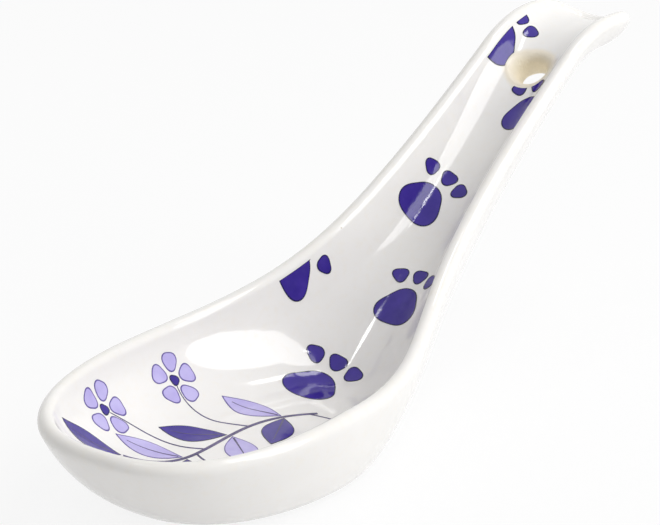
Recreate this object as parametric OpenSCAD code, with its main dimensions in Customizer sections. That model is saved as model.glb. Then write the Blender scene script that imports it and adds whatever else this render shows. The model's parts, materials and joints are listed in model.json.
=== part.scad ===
// Porcelain soup spoon: a deep bowl on a flat oval foot, and a trough-shaped handle with a hooked end
// Millimetres. The origin is the middle of the foot, +X runs towards the handle's end and +Z is up.

/* [Bowl] */
// Half of the bowl's width, to the middle of the lip
bowl_half_w = 20.8; // [18:0.1:24]
// Length from the widest section to the middle of the lip at the tip
front_l = 33; // [28:0.5:38]
// Height of the middle of the lip at the widest section
rim_h = 14.8; // [13:0.1:17]
// Height of the middle of the lip at the tip
tip_h = 13.8; // [12:0.1:16]
// Radius of the rounded lip
lip_r = 1.35; // [1.1:0.05:1.6]
// Thickness of the bowl's floor
floor_t = 4.5; // [3.5:0.1:5.5]

/* [Foot] */
// Half of the foot's length
foot_half_l = 21.5; // [19:0.25:24]
// Half of the foot's width
foot_half_w = 14.25; // [12:0.25:16]
// How far the bowl's widest section lies from the middle of the foot, towards the tip
widest_back = 4.25; // [2:0.25:7]

/* [Handle] */
// Half of the handle's width, to the middle of the lip
handle_half_w = 7.6; // [6.8:0.1:9]
// Length over which the bowl narrows into the handle
narrowing_l = 45; // [40:0.5:50]
// Thickness along the middle of the handle
handle_t = 4.6; // [3.6:0.1:5]
// Radius of the keel at the heel, behind the foot
heel_r = 11.5; // [9:0.5:18]
// Slope of the handle, in degrees
handle_angle = 37.5; // [32:0.5:43]
// Length of the straight run of the handle
handle_run = 65; // [58:0.5:72]
// Radius of the keel at the crest
crest_r = 21; // [18:0.5:26]
// How far the end points down past level, in degrees
hook_angle = 17; // [8:0.5:24]
// Length of the straight run that the sweep of the bowl's rim takes up
shoulder_run = 31; // [26:0.5:36]
// Height of the rim over the keel where that sweep ends
shoulder_h = 12; // [11:0.1:13]
// The same height where the rounded end begins
corner_h = 6; // [5.4:0.1:7]
// The same height at the middle of the end
end_h = 4; // [3.6:0.1:4.8]
// Length of the rounded end
corner_l = 7; // [5:0.25:9]

/* [Hanging hole] */
// Diameter of the hole
hole_d = 5.2; // [4:0.1:6]
// Diameter at which the flared edge of the hole meets the trough
flare_d = 8.6; // [7.5:0.1:10]
// Radius of the upper edge of the hole
flare_r = 1.4; // [1:0.1:1.6]
// Radius of the lower edge of the hole
under_r = 0.5; // [0.3:0.1:0.7]
// Length along the keel from the hole to the end
hole_back = 20; // [17:0.25:23]

/* [Prints] */
// Mean radius of the pad of the largest paw print
pad_r = 4.3; // [3.8:0.1:4.8]
// Mean radius of a toe of the largest paw print
toe_r = 1.6; // [1.2:0.1:1.9]
// Distance from the pad's centre to each toe's, on the largest paw print
toe_reach = 7.7; // [7.2:0.1:8.5]
// Length of a leaf
leaf_l = 10.5; // [8:0.1:11.5]
// Width of a leaf
leaf_w = 5; // [3.5:0.1:5.5]
// Width of the sprig's stem
stem_w = 0.6; // [0.4:0.1:1]
// Radius of the ring on which a blossom's petals are centred
blossom_r = 3.1; // [2.8:0.1:3.4]
// Mean radius of a petal
petal_r = 1.6; // [1.2:0.05:1.7]
// Radius of a blossom's centre
eye_r = 0.95; // [0.6:0.05:1.1]
// Thickness of a print
film_t = 0.1; // [0.06:0.01:0.2]

/* [Hidden] */

porcelain = [0.95, 0.945, 0.93];
deep_blue = [0.26, 0.21, 0.58];
line_violet = [0.22, 0.18, 0.4];
pale_violet = [0.7, 0.66, 0.9];

// Lean of the lip from upright, in degrees, at the tip, at the bowl's sides and along the handle
tip_lean = 28;
side_lean = 5.5;
handle_lean = 22;
// How square the front of the bowl is: 2 would be an ellipse
front_power = 2.5;
// How softly the foot draws in towards the heel, where a half would be an ellipse, and how far its sides run
// on under the heel, as a share of half its length
heel_power = 1.5;
heel_run_share = 1.2;
// Pulls of the wall's curve, at the keel and under the lip, as shares of its width and its height
bowl_out_shares = [0.43, 0.475];
bowl_in_shares = [0.46, 0.5];
handle_shares = [0.55, 0.58];
// Pulls of the rim's sweep, at the bowl and at the handle, as shares of its chord
rim_pull_shares = [0.39, 0.44];
// Width of the flat of the floor, as a share of the foot's
floor_flat_share = 0.5;
// How square the end of the handle is
end_power = 2.3;
// Half of the narrow flat that runs along the keel under the handle
keel_flat = 1.2;
// Slope of the hole's edges where they leave it, in degrees, and how far inside the hole's wall they start
flare_slope = 35;
edge_in = 0.1;
// Height of a print's underside over the glaze, and its distance from the lip and from the flared edge
film_lift = 0.03;
print_gap = 0.2;
// How three-cornered pads, toes and petals are, as a share of their radius
corner_out_share = 0.1;
// Where the lip cuts through a spot, its hub stays this share of its radius inside. Past these shares of its
// radius, a spot beyond the lip or too near the hole is left out
hub_in_share = 0.33;
lip_out_share = 0.25;
hole_off_share = 0.12;
// How far a cutting shape runs past what it cuts
overrun = 3;

// Number of steps round the front, along each stretch of the keel, up a wall and over the lip
front_steps = 28;
foot_steps = 12;
heel_steps = 4;
run_steps = 20;
crest_steps = 5;
end_steps = 16;
wall_steps = 10;
lip_steps = 6;
edge_steps = 4;

// Number of sides of the hole, and the shares of a side by which it and its upper edge are turned, so that no
// corners meet
hole_sides = 64;
hole_turn = 0.25;
flare_turn = 0.75;
// Number of points round an outline, and along the stem
pad_points = 24;
toe_points = 14;
eye_points = 12;
leaf_points = 8;
stem_points = 32;

// Lengths along the keel, from the bowl's widest section
flat_l = foot_half_l+widest_back;
heel_l = arc(heel_r, handle_angle);
shoulder_l = flat_l+heel_l+shoulder_run;
crest_start = flat_l+heel_l+handle_run;
spine_l = crest_start+arc(crest_r, handle_angle+hook_angle);
corner_start = spine_l-corner_l;
hole_l = spine_l-hole_back;

function arc(r, angle) = r*angle*PI/180;
function unit(v) = v/norm(v);
function cubic(a, b, c, d, t) = pow(1-t, 3)*a+3*t*pow(1-t, 2)*b+3*t*t*(1-t)*c+pow(t, 3)*d;
function mix(a, b, share) = a+(b-a)*share;
function flip_y(p) = [p[0], -p[1], p[2]];

// The keel: flat under the bowl, round the heel, straight up the handle and over the crest
function heel_turn(s) = min(max(s-flat_l, 0)/arc(heel_r, 1), handle_angle);
function crest_turn(s) = max(s-crest_start, 0)/arc(crest_r, 1);
function slope(s) = heel_turn(s)-crest_turn(s);
function along(angle) = [cos(angle), 0, sin(angle)];
function across(angle) = [-sin(angle), 0, cos(angle)];
function keel(s) =
    [min(s, flat_l)-widest_back, 0, 0]
    +heel_r*([0, 0, 1]-across(heel_turn(s)))
    +min(max(s-flat_l-heel_l, 0), handle_run)*along(handle_angle)
    +crest_r*(across(slope(s))-across(heel_turn(s)));

// The middle of the lip, seen from the side: a sweep from the bowl to the handle, then a height over the
// keel that falls towards the end
rim_fall = (shoulder_h-corner_h)/(corner_start-shoulder_l);
function rim_height(s) = shoulder_h-rim_fall*(s-shoulder_l);
rim_start = [-widest_back, 0, rim_h];
rim_end = keel(shoulder_l)+shoulder_h*across(handle_angle);
rim_chord = norm(rim_end-rim_start);
rim_way = along(handle_angle)-rim_fall*across(handle_angle);
function rim(s) = s < shoulder_l
    ? cubic(rim_start, rim_start+rim_pull_shares[0]*rim_chord*[1, 0, 0],
        rim_end-rim_pull_shares[1]*rim_chord*rim_way, rim_end, s/shoulder_l)
    : keel(s)+rim_height(s)*across(slope(s));

// Half of the foot's width at x, and its reach from the widest section in the direction of a front angle. It
// is half an ellipse in front and draws in towards the heel
function foot_side(x) =
    x < 0 ? foot_half_w*sqrt(1-pow(x/foot_half_l, 2))
    : foot_half_w*pow(max(1-pow(x/foot_half_l/heel_run_share, 2), 0), heel_power);
function foot_reach(angle) =
    let(a = pow(sin(angle)/foot_half_l, 2)+pow(cos(angle)/foot_half_w, 2),
        b = widest_back*sin(angle)/pow(foot_half_l, 2),
        c = pow(widest_back/foot_half_l, 2)-1)
    (sqrt(b*b-a*c)-b)/a;

// A section of the spoon: its keel point, its way out, its way up, then the lip's distance and height, half
// the foot's width, the thickness at the keel, the lip's lean, and the pulls of the outer and the inner wall
function bowl_share(s) = exp(-pow(s/narrowing_l, 2));
function side_w(s) = mix(handle_half_w, bowl_half_w, bowl_share(s));
function oval(angle, ahead, aside, power) =
    pow(pow(abs(sin(angle))/ahead, power)+pow(abs(cos(angle))/aside, power), -1/power);
function spine_section(s) =
    let(k = keel(s), r = rim(s), b = bowl_share(s))
    [k, [0, 1, 0], unit(r-k), side_w(s), norm(r-k), norm([foot_side(s-widest_back), keel_flat]),
        mix(handle_t, floor_t, b), mix(handle_lean, side_lean, b),
        mix(handle_shares, bowl_out_shares, b), mix(handle_shares, bowl_in_shares, b)];
function front_section(angle) =
    let(tip = pow(sin(angle), 2))
    [keel(0), [-sin(angle), cos(angle), 0], [0, 0, 1], oval(angle, front_l, bowl_half_w, front_power),
        mix(rim_h, tip_h, tip), norm([foot_reach(angle), keel_flat]), floor_t,
        mix(side_lean, tip_lean, tip), bowl_out_shares, bowl_in_shares];
// A section through the rounded end, laid out straight: its way out and up are bent over the crest later
function end_section(angle) =
    let(x = spine_section(corner_start))
    [[corner_start, 0, 0], [sin(angle), cos(angle), 0], [0, 0, 1], oval(angle, corner_l, x[3], end_power),
        mix(x[4], end_h, pow(sin(angle), 2)), x[5], x[6], x[7], x[8], x[9]];
function bent(p) = keel(p[0])+[0, p[1], 0]+p[2]*across(slope(p[0]));

// The walls of a section, as points [way out, way up] from the keel outwards
function lip_out(x) = [cos(x[7]), -sin(x[7])];
function lip_up(x) = [sin(x[7]), cos(x[7])];
function wall(x, flat, base, end, pulls) =
    let(low = [flat+pulls[0]*(end[0]-flat), base], high = end-pulls[1]*(end[1]-base)*lip_up(x))
    concat([[0, base]], [for (i = [0:wall_steps]) cubic([flat, base], low, high, end, i/wall_steps)]);
function outer_wall(x) = wall(x, x[5], 0, [x[3], x[4]]+lip_r*lip_out(x), x[8]);
function inner_wall(x) = wall(x, x[5]*floor_flat_share, x[6], [x[3], x[4]]-lip_r*lip_out(x), x[9]);
function lip(x) = [for (i = [1:lip_steps-1])
    let(a = 180*i/lip_steps) [x[3], x[4]]+lip_r*(cos(a)*lip_out(x)+sin(a)*lip_up(x))];
function reversed(list) = [for (i = [len(list)-1:-1:0]) list[i]];
function half_section(x) =
    [for (p = concat(outer_wall(x), lip(x), reversed(inner_wall(x)))) x[0]+p[0]*x[1]+p[1]*x[2]];
last = 2*wall_steps+lip_steps+2;

// Half sections from the middle of the end, along the +Y side, round the front and back along the -Y side
stations = concat(
    [for (i = [0:foot_steps-1])
        widest_back+foot_half_l*sin(mix(-asin(widest_back/foot_half_l), 90, i/foot_steps))],
    [for (i = [0:heel_steps-1]) flat_l+heel_l*i/heel_steps],
    [for (i = [0:run_steps-1]) flat_l+heel_l+handle_run*i/run_steps],
    [for (i = [0:crest_steps]) mix(crest_start, corner_start, i/crest_steps)]);
far = len(stations)-1;
side_sections = [for (s = stations) half_section(spine_section(s))];
front_sections = [for (i = [1:front_steps-1]) half_section(front_section(180*i/front_steps))];
end_sections = [for (i = [1:end_steps-1])
    [for (p = half_section(end_section(180*i/end_steps))) bent(p)]];
function flipped(sections) = [for (x = sections) [for (p = x) flip_y(p)]];
spokes = concat(reversed(side_sections), front_sections, flipped(side_sections), reversed(end_sections));

// Number of the point j of spoke k. The keel's points are shared by both sides, and by all spokes of an end
function station_of(k) = k <= far ? far-k : k <= far+front_steps ? 0 : min(k-far-front_steps, far);
function point_of(k, j) =
    j == 0 ? station_of(k)
    : j == last ? far+1+station_of(k)
    : 2*(far+1)+k*(last-1)+j-1;
function triangle(a, b, c) = a == b || b == c || a == c ? [] : [[a, b, c]];
function patch(k, j) =
    let(n = (k+1)%len(spokes),
        a = point_of(k, j), b = point_of(k, j+1), c = point_of(n, j+1), d = point_of(n, j))
    k < far+front_steps/2
        ? concat(triangle(a, b, c), triangle(a, c, d))
        : concat(triangle(a, b, d), triangle(b, c, d));

module shell() {
    polyhedron(
        points = concat([for (x = side_sections) x[0]], [for (x = side_sections) x[last]],
            [for (x = spokes) for (j = [1:last-1]) x[j]]),
        faces = [for (k = [0:len(spokes)-1]) for (j = [0:last-1]) for (f = patch(k, j)) f]);
}

// The edge of a hole, as points [radius, height] from the hole's wall: an arc, then a straight slope
edge_turn = 90-flare_slope;
function edge_line(wall_r, edge_r) =
    let(arc_end = [wall_r+edge_r*(1-cos(edge_turn)), edge_r*sin(edge_turn)])
    concat([for (i = [0:edge_steps-1])
        let(a = edge_turn*i/edge_steps) [wall_r+edge_r*(1-cos(a)), edge_r*sin(a)]],
        [arc_end, arc_end+overrun*[cos(flare_slope), sin(flare_slope)]]);
module lower_edge(wall_r, edge_r) {
    line = edge_line(wall_r, edge_r);
    rotate_extrude($fn = hole_sides) polygon(concat([[0, 0]], line, [[0, line[len(line)-1][1]]]));
}

// The upper edge follows the trough: it is laid out on the inner face, and its depth runs along the hole
function under_face(run) =
    run < crest_start ? run : crest_start+(run-crest_start)*crest_r/(crest_r+handle_t);
function over_keel(s) = s+max(s-crest_start, 0)*handle_t/crest_r;
function flare_point(r, angle, lift) =
    face(under_face(over_keel(hole_l)+r*cos(angle)), r*sin(angle), 0)+lift*across(slope(hole_l));
module upper_edge(wall_r, edge_r, outer_r) {
    line = edge_line(wall_r, edge_r);
    n = hole_sides;
    m = len(line);
    depth = lookup(outer_r, line);
    function at(ring, i) = 2+ring*n+i%n;
    polyhedron(
        points = concat([flare_point(0, 0, -depth), flare_point(0, 0, line[m-1][1]+overrun)],
            [for (v = line) for (i = [0:n-1]) flare_point(v[0], 360*(i+flare_turn)/n, v[1]-depth)],
            [for (i = [0:n-1]) flare_point(line[m-1][0], 360*(i+flare_turn)/n, line[m-1][1]+overrun)]),
        faces = [for (i = [0:n-1]) for (f = concat(
            [[0, at(0, i), at(0, i+1)], [1, at(m, i+1), at(m, i)]],
            [for (ring = [0:m-1]) for (t = [[at(ring, i), at(ring+1, i), at(ring+1, i+1)],
                [at(ring, i), at(ring+1, i+1), at(ring, i+1)]]) t])) f]);
}

module hanging_hole() {
    r = hole_d/2;
    translate(keel(hole_l)) rotate([0, -slope(hole_l), 0]) rotate([0, 0, 360*hole_turn/hole_sides]) {
        translate([0, 0, -overrun]) cylinder(r = r, h = handle_t+2*overrun, $fn = hole_sides);
        translate([0, 0, under_r]) mirror([0, 0, 1]) lower_edge(r-edge_in, under_r);
    }
    upper_edge(r-edge_in, flare_r, flare_d/2);
}

module porcelain_body() {
    color(porcelain) difference() {
        shell();
        hanging_hole();
    }
}

// A place on the inner face, from its distance along the keel and its distance round from the keel. In front
// of the widest section both are measured straight out from that section's keel point
function run_up(line) =
    [for (i = 0, d = 0; i < len(line); i = i+1, d = d+(i < len(line) ? norm(line[i]-line[i-1]) : 0)) d];
function print_section(p, q) = p < 0 ? front_section(atan2(-p, abs(q))) : spine_section(p);
function face(p, q, lift) =
    let(x = print_section(p, q),
        line = inner_wall(x),
        far = run_up(line),
        r = min(p < 0 ? norm([p, q]) : abs(q), far[len(far)-1]-print_gap),
        outs = [for (i = [0:len(far)-1]) [far[i], line[i][0]]],
        ups = [for (i = [0:len(far)-1]) [far[i], line[i][1]]],
        tangent = unit([lookup(r+film_t, outs)-lookup(r, outs), lookup(r+film_t, ups)-lookup(r, ups)]),
        point = x[0]+(lookup(r, outs)-lift*tangent[1])*x[1]+(lookup(r, ups)+lift*tangent[0])*x[2])
    q < 0 ? flip_y(point) : point;

// How far out a place is, and how far a print can reach there before the lip
function reach(p) = p[0] < 0 ? norm(p) : abs(p[1]);
function reach_limit(p) =
    let(far = run_up(inner_wall(print_section(p[0], p[1])))) far[len(far)-1]-print_gap;

// A place drawn in by a share, and a print's point kept off the flared edge of the hole and short of the lip
function drawn_in(p, share) = [p[0]*(p[0] < 0 ? share : 1), p[1]*share];
hole_clear = flare_d/2+print_gap;
function off_hole(p) =
    let(away = p-[hole_l, 0]) [hole_l, 0]+away*max(hole_clear/norm(away), 1);
function kept(p) =
    let(o = off_hole(p), far = reach(o)) drawn_in(o, far == 0 ? 1 : min(reach_limit(o)/far, 1));

// Where a spot's rings run out from: its centre, drawn in from the lip where the lip cuts through the spot
function hub(centre, r) =
    drawn_in(centre, 1-max(reach(centre)-reach_limit(centre)+r*hub_in_share, 0)/reach(centre));

// A thin print with the given outline, in rings round a centre
module film(outline, centre, rings) {
    n = len(outline);
    edge = [for (o = outline) kept(o)];
    flat = concat([centre], [for (m = [1:rings]) for (o = edge) mix(centre, o, m/rings)]);
    top = 0;
    under = len(flat);
    function at(layer, m, i) = layer+(m == 0 ? 0 : 1+(m-1)*n+i%n);
    function face_pair(layer, m, i) =
        let(a = at(layer, m, i), b = at(layer, m+1, i), c = at(layer, m+1, i+1), d = at(layer, m, i+1))
        concat(triangle(a, c, b), triangle(a, d, c));
    polyhedron(
        points = concat(
            [for (p = flat) face(p[0], p[1], film_lift+film_t)],
            [for (p = flat) face(p[0], p[1], film_lift)]),
        faces = concat(
            [for (m = [0:rings-1]) for (i = [0:n-1]) for (f = face_pair(top, m, i)) f],
            [for (m = [0:rings-1]) for (i = [0:n-1]) for (f = face_pair(under, m, i)) reversed(f)],
            [for (i = [0:n-1])
                for (f = [[at(top, rings, i), at(top, rings, i+1), at(under, rings, i+1)],
                    [at(top, rings, i), at(under, rings, i+1), at(under, rings, i)]]) f]));
}

// Outlines: a rounded three-cornered spot, and a leaf with a point at each end
function turned(v, angle) = [v[0]*cos(angle)-v[1]*sin(angle), v[0]*sin(angle)+v[1]*cos(angle)];
function spot(centre, r, angle, n) = [for (i = [0:n-1])
    let(a = 360*i/n) centre+turned([r*(1+corner_out_share*cos(3*a)), 0], a+angle)];
function leaf(base, length, width, angle, n) = concat(
    [for (i = [0:n-1]) base+turned([length*i/n, -width/2*sin(180*i/n)], angle)],
    [for (i = [0:n-1]) base+turned([length*(1-i/n), width/2*sin(180*i/n)], angle)]);

// A spot is cut off at the lip and at the hole, and one that lies mostly past either is left out
module spot_film(centre, r, angle, n, rings) {
    start = hub(centre, r);
    if (reach(centre) < reach_limit(centre)+r*lip_out_share
        && norm(start-[hole_l, 0]) > hole_clear+r*hole_off_share)
        film(spot(centre, r, angle, n), start, rings);
}

// Paw prints: the place of each pad, as shares of the keel's length and of the widest section's inner girth,
// its size, as a share of the largest print's, and its turn
widest_line = run_up(inner_wall(spine_section(0)));
girth = widest_line[len(widest_line)-1];
function place(share) = [share[0]*spine_l, share[1]*girth];
paw_place_shares =
    [[0.213, 0.167], [0.332, 0.746], [0.392, -0.037], [0.558, 0.204], [0.744, -0.155], [0.84, 0.306]];
paw_size_shares = [1, 0.97, 0.89, 0.9, 0.85, 0.82];
paw_turns = [0, -4, -4, -15, 6, -1];
toe_bearings = [27, -3, -31];
toe_turns = [90, 180, -90];

module paw_print(k) {
    centre = place(paw_place_shares[k]);
    size = paw_size_shares[k];
    color(deep_blue) {
        spot_film(centre, pad_r*size, paw_turns[k], pad_points, 3);
        for (toe = [0:len(toe_turns)-1])
            spot_film(centre+turned([toe_reach*size, 0], paw_turns[k]+toe_bearings[toe]),
                toe_r*size, paw_turns[k]+toe_turns[toe], toe_points, 1);
    }
}

// The sprig in the bowl: a stem with pairs of leaves, one of each colour, and a leaf at its end
stem_shares = [[0.144, -0.1], [0.042, 0.37], [-0.068, -0.12], [-0.152, 0.33]];
leaf_place_shares = [0.12, 0.42, 0.72];
leaf_angle = 52;
blossom_place_shares = [[0.042, 0.72], [-0.11, 0.7], [-0.034, -0.57], [0.11, -0.55]];
petals = 5;
stem_places = [for (share = stem_shares) place(share)];
function stem_at(t) = cubic(stem_places[0], stem_places[1], stem_places[2], stem_places[3], t);
function stem_way(t) =
    let(step = leaf_place_shares[0]/2, a = stem_at(max(t-step, 0)), b = stem_at(min(t+step, 1)))
    atan2(b[1]-a[1], b[0]-a[0]);

// A leaf starts one stem's width from the middle of the stem, and the last one half a width past its end
module leaf_film(t, bearing) {
    angle = stem_way(t)+bearing;
    base = stem_at(t)+turned([bearing == 0 ? stem_w/2 : stem_w, 0], angle);
    film(leaf(base, leaf_l, leaf_w, angle, leaf_points), base+turned([leaf_l/2, 0], angle), 2);
}

// The leaves of one colour: first on one side of the stem, then on the other
module leaves(first) {
    for (i = [0:len(leaf_place_shares)-1])
        leaf_film(leaf_place_shares[i], leaf_angle*(i%2 == first ? 1 : -1));
}

module sprig_stem() {
    steps = stem_points;
    corners = [[1, film_lift], [1, film_lift+film_t], [-1, film_lift+film_t], [-1, film_lift]];
    color(line_violet) polyhedron(
        points = [for (i = [0:steps]) for (c = corners)
            let(p = stem_at(i/steps)+turned([0, c[0]*stem_w/2], stem_way(i/steps))) face(p[0], p[1], c[1])],
        faces = concat([[0, 1, 2], [0, 2, 3]],
            [for (i = [0:steps-1]) for (j = [0:3])
                let(a = 4*i+j, b = 4*i+(j+1)%4) for (f = [[a, a+4, b+4], [a, b+4, b]]) f],
            [[4*steps, 4*steps+2, 4*steps+1], [4*steps, 4*steps+3, 4*steps+2]]));
}

module deep_leaves() {
    color(deep_blue) {
        leaves(0);
        leaf_film(1, 0);
    }
}

module pale_leaves() {
    color(pale_violet) leaves(1);
}

module blossom_petals() {
    color(pale_violet) for (share = blossom_place_shares) for (i = [0:petals-1])
        let(angle = 360*i/petals)
            spot_film(place(share)+turned([blossom_r, 0], angle), petal_r, angle+180, toe_points, 1);
}

module blossom_centres() {
    color(deep_blue) for (share = blossom_place_shares) spot_film(place(share), eye_r, 0, eye_points, 1);
}

porcelain_body();
for (k = [0:len(paw_turns)-1]) paw_print(k);
sprig_stem();
deep_leaves();
pale_leaves();
blossom_petals();
blossom_centres();
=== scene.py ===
import json
import math
import bmesh
import bpy
import numpy as np
from mathutils import Matrix, Vector

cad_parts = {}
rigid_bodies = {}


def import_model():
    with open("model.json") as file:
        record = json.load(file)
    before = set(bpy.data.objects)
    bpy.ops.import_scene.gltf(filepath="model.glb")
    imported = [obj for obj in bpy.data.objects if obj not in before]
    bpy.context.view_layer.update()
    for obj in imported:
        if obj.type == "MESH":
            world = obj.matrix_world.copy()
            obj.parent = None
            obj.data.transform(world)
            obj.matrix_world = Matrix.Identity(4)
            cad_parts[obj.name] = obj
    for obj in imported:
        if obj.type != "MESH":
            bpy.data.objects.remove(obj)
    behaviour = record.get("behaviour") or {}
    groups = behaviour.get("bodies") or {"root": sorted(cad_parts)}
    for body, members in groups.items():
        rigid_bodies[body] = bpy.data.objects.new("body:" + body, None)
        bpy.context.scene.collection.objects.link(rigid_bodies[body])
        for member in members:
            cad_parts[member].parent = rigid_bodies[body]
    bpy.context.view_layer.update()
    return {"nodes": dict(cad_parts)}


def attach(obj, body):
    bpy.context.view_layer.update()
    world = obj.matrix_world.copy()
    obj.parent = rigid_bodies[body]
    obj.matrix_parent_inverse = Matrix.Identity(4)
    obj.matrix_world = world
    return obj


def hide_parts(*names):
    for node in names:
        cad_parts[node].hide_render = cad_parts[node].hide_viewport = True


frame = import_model()
print("frame loaded,", len(frame["nodes"]), "nodes")

mm = 0.001  # sizes are written in millimetres and angles in degrees; meshes are made in metres
tiny = 1e-6  # keeps a length that is divided by from being nothing


def addObject(name, data):
    item = bpy.data.objects.new(name, data)
    bpy.context.scene.collection.objects.link(item)
    return item


# Camera: round the spoon at the photograph's angle
cameraSetup = {
    "azimuth": -55.8058,
    "elevation": 19.4298,
    "roll": 1.4638,
    "distance": 342.66,
    "target": (11.5721, -4.3387, 29.5903),
    "lens": 125.28,
    "sensor": 36.0,
    "nearest": 10,
    "farthest": 20000,
}


def viewAxes(azimuth, elevation):
    turn, tilt = math.radians(azimuth), math.radians(elevation)
    back = Vector((math.sin(turn) * math.cos(tilt), -math.cos(turn) * math.cos(tilt), math.sin(tilt)))
    right = Vector((math.cos(turn), math.sin(turn), 0))
    return right, back.cross(right), back


def makeCamera(setup):
    right, up, back = viewAxes(setup["azimuth"], setup["elevation"])
    roll = math.radians(setup["roll"])
    rolledRight = right * math.cos(roll) + up * math.sin(roll)
    rolledUp = up * math.cos(roll) - right * math.sin(roll)
    data = bpy.data.cameras.new("camera")
    data.sensor_width = setup["sensor"]
    data.lens = setup["lens"]
    data.clip_start = setup["nearest"] * mm
    data.clip_end = setup["farthest"] * mm
    camera = addObject("camera", data)
    turn = Matrix((rolledRight, rolledUp, back)).transposed().to_4x4()
    place = Vector(setup["target"]) + back * setup["distance"]
    camera.matrix_world = Matrix.Translation(place * mm) @ turn
    bpy.context.scene.camera = camera


makeCamera(cameraSetup)
print("camera placed")

# The spoon's shape: the same driving sizes as its CAD source
spoon = {
    "bowlHalfWidth": 20.8,
    "frontLength": 33.0,
    "rimHeight": 14.8,
    "tipHeight": 13.8,
    "lipRadius": 1.35,
    "floorThickness": 4.5,
    "footHalfLength": 21.5,
    "footHalfWidth": 14.25,
    "widestBack": 4.25,  # the widest section lies this far in front of the foot's middle
    "handleHalfWidth": 7.6,
    "narrowing": 45.0,  # how slowly the bowl draws in to the handle's width
    "handleThickness": 4.6,
    "heelRadius": 11.5,
    "handleAngle": 37.5,
    "handleRun": 65.0,
    "crestRadius": 21.0,
    "hookAngle": 17.0,
    "shoulderRun": 31.0,  # how far up the straight handle the rim's sweep ends
    "shoulderHeight": 12.0,
    "cornerHeight": 6.0,
    "endHeight": 4.0,
    "cornerLength": 7.0,
    "tipLean": 28.0,  # leans tilt the top of a wall outward
    "sideLean": 5.5,
    "handleLean": 22.0,
    "frontPower": 2.5,  # a power of 2 gives an oval, and a higher one squarer ends
    "endPower": 2.3,
    "heelPower": 1.5,
    "heelRunShare": 1.2,
    "keelFlat": 1.2,
    "floorFlatShare": 0.5,
    "bowlOuterPulls": (0.43, 0.475),  # pulls: how far a curve follows the way of each of its ends
    "bowlInnerPulls": (0.46, 0.5),
    "handlePulls": (0.55, 0.58),
    "rimPulls": (0.39, 0.44),
}
heelLength = math.radians(spoon["handleAngle"]) * spoon["heelRadius"]
flatLength = spoon["footHalfLength"] + spoon["widestBack"]
straightStart = flatLength + heelLength
shoulderEnd = straightStart + spoon["shoulderRun"]
crestStart = straightStart + spoon["handleRun"]
keelLength = crestStart + math.radians(spoon["handleAngle"] + spoon["hookAngle"]) * spoon["crestRadius"]
cornerStart = keelLength - spoon["cornerLength"]


def unit(vector):
    return vector / np.linalg.norm(vector)


def mix(a, b, share):
    return a + (b - a) * share


def cubic(a, b, c, d, t):
    return (1 - t) ** 3 * a + 3 * t * (1 - t) ** 2 * b + 3 * t**2 * (1 - t) * c + t**3 * d


def alongWay(angle):
    return np.array([math.cos(math.radians(angle)), 0, math.sin(math.radians(angle))])


def acrossWay(angle):
    return np.array([-math.sin(math.radians(angle)), 0, math.cos(math.radians(angle))])


# The keel, by the length s along it from the widest section:
# level, then round the heel, straight up the handle and over the crest
def heelTurn(s):
    return min(math.degrees(max(s - flatLength, 0) / spoon["heelRadius"]), spoon["handleAngle"])


def slopeAt(s):
    return heelTurn(s) - math.degrees(max(s - crestStart, 0) / spoon["crestRadius"])


def keelAt(s):
    level = np.array([min(s, flatLength) - spoon["widestBack"], 0, 0])
    heel = spoon["heelRadius"] * (np.array([0, 0, 1]) - acrossWay(heelTurn(s)))
    straight = min(max(s - straightStart, 0), spoon["handleRun"]) * alongWay(spoon["handleAngle"])
    crest = spoon["crestRadius"] * (acrossWay(slopeAt(s)) - acrossWay(heelTurn(s)))
    return level + heel + straight + crest


# The middle of the lip: a sweep from the bowl up to the handle, then a falling height over the keel
rimFall = (spoon["shoulderHeight"] - spoon["cornerHeight"]) / (cornerStart - shoulderEnd)
rimStart = np.array([-spoon["widestBack"], 0, spoon["rimHeight"]])
rimEnd = keelAt(shoulderEnd) + spoon["shoulderHeight"] * acrossWay(spoon["handleAngle"])
rimChord = np.linalg.norm(rimEnd - rimStart)


def rimAt(s):
    if s >= shoulderEnd:
        height = spoon["shoulderHeight"] - rimFall * (s - shoulderEnd)
        return keelAt(s) + height * acrossWay(slopeAt(s))
    way = alongWay(spoon["handleAngle"]) - rimFall * acrossWay(spoon["handleAngle"])
    first = rimStart + spoon["rimPulls"][0] * rimChord * np.array([1, 0, 0])
    second = rimEnd - spoon["rimPulls"][1] * rimChord * way
    return cubic(rimStart, first, second, rimEnd, s / shoulderEnd)


# The foot's half width, x in front of its middle: half an oval, then a tail under the heel
def footSide(x):
    if x < 0:
        return spoon["footHalfWidth"] * math.sqrt(max(1 - (x / spoon["footHalfLength"]) ** 2, 0))
    reach = spoon["footHalfLength"] * spoon["heelRunShare"]
    return spoon["footHalfWidth"] * max(1 - (x / reach) ** 2, 0) ** spoon["heelPower"]


# The foot's reach from the widest section's keel point, where a line at this angle leaves the oval
def footReach(angle):
    ahead = math.sin(angle) / spoon["footHalfLength"]
    aside = math.cos(angle) / spoon["footHalfWidth"]
    back = spoon["widestBack"] / spoon["footHalfLength"]
    a, b, c = ahead**2 + aside**2, back * ahead, back**2 - 1
    return (math.sqrt(b * b - a * c) - b) / a


def oval(angle, ahead, aside, power):
    along, across = abs(math.sin(angle) / ahead), abs(math.cos(angle) / aside)
    return (along**power + across**power) ** (-1 / power)


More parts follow.
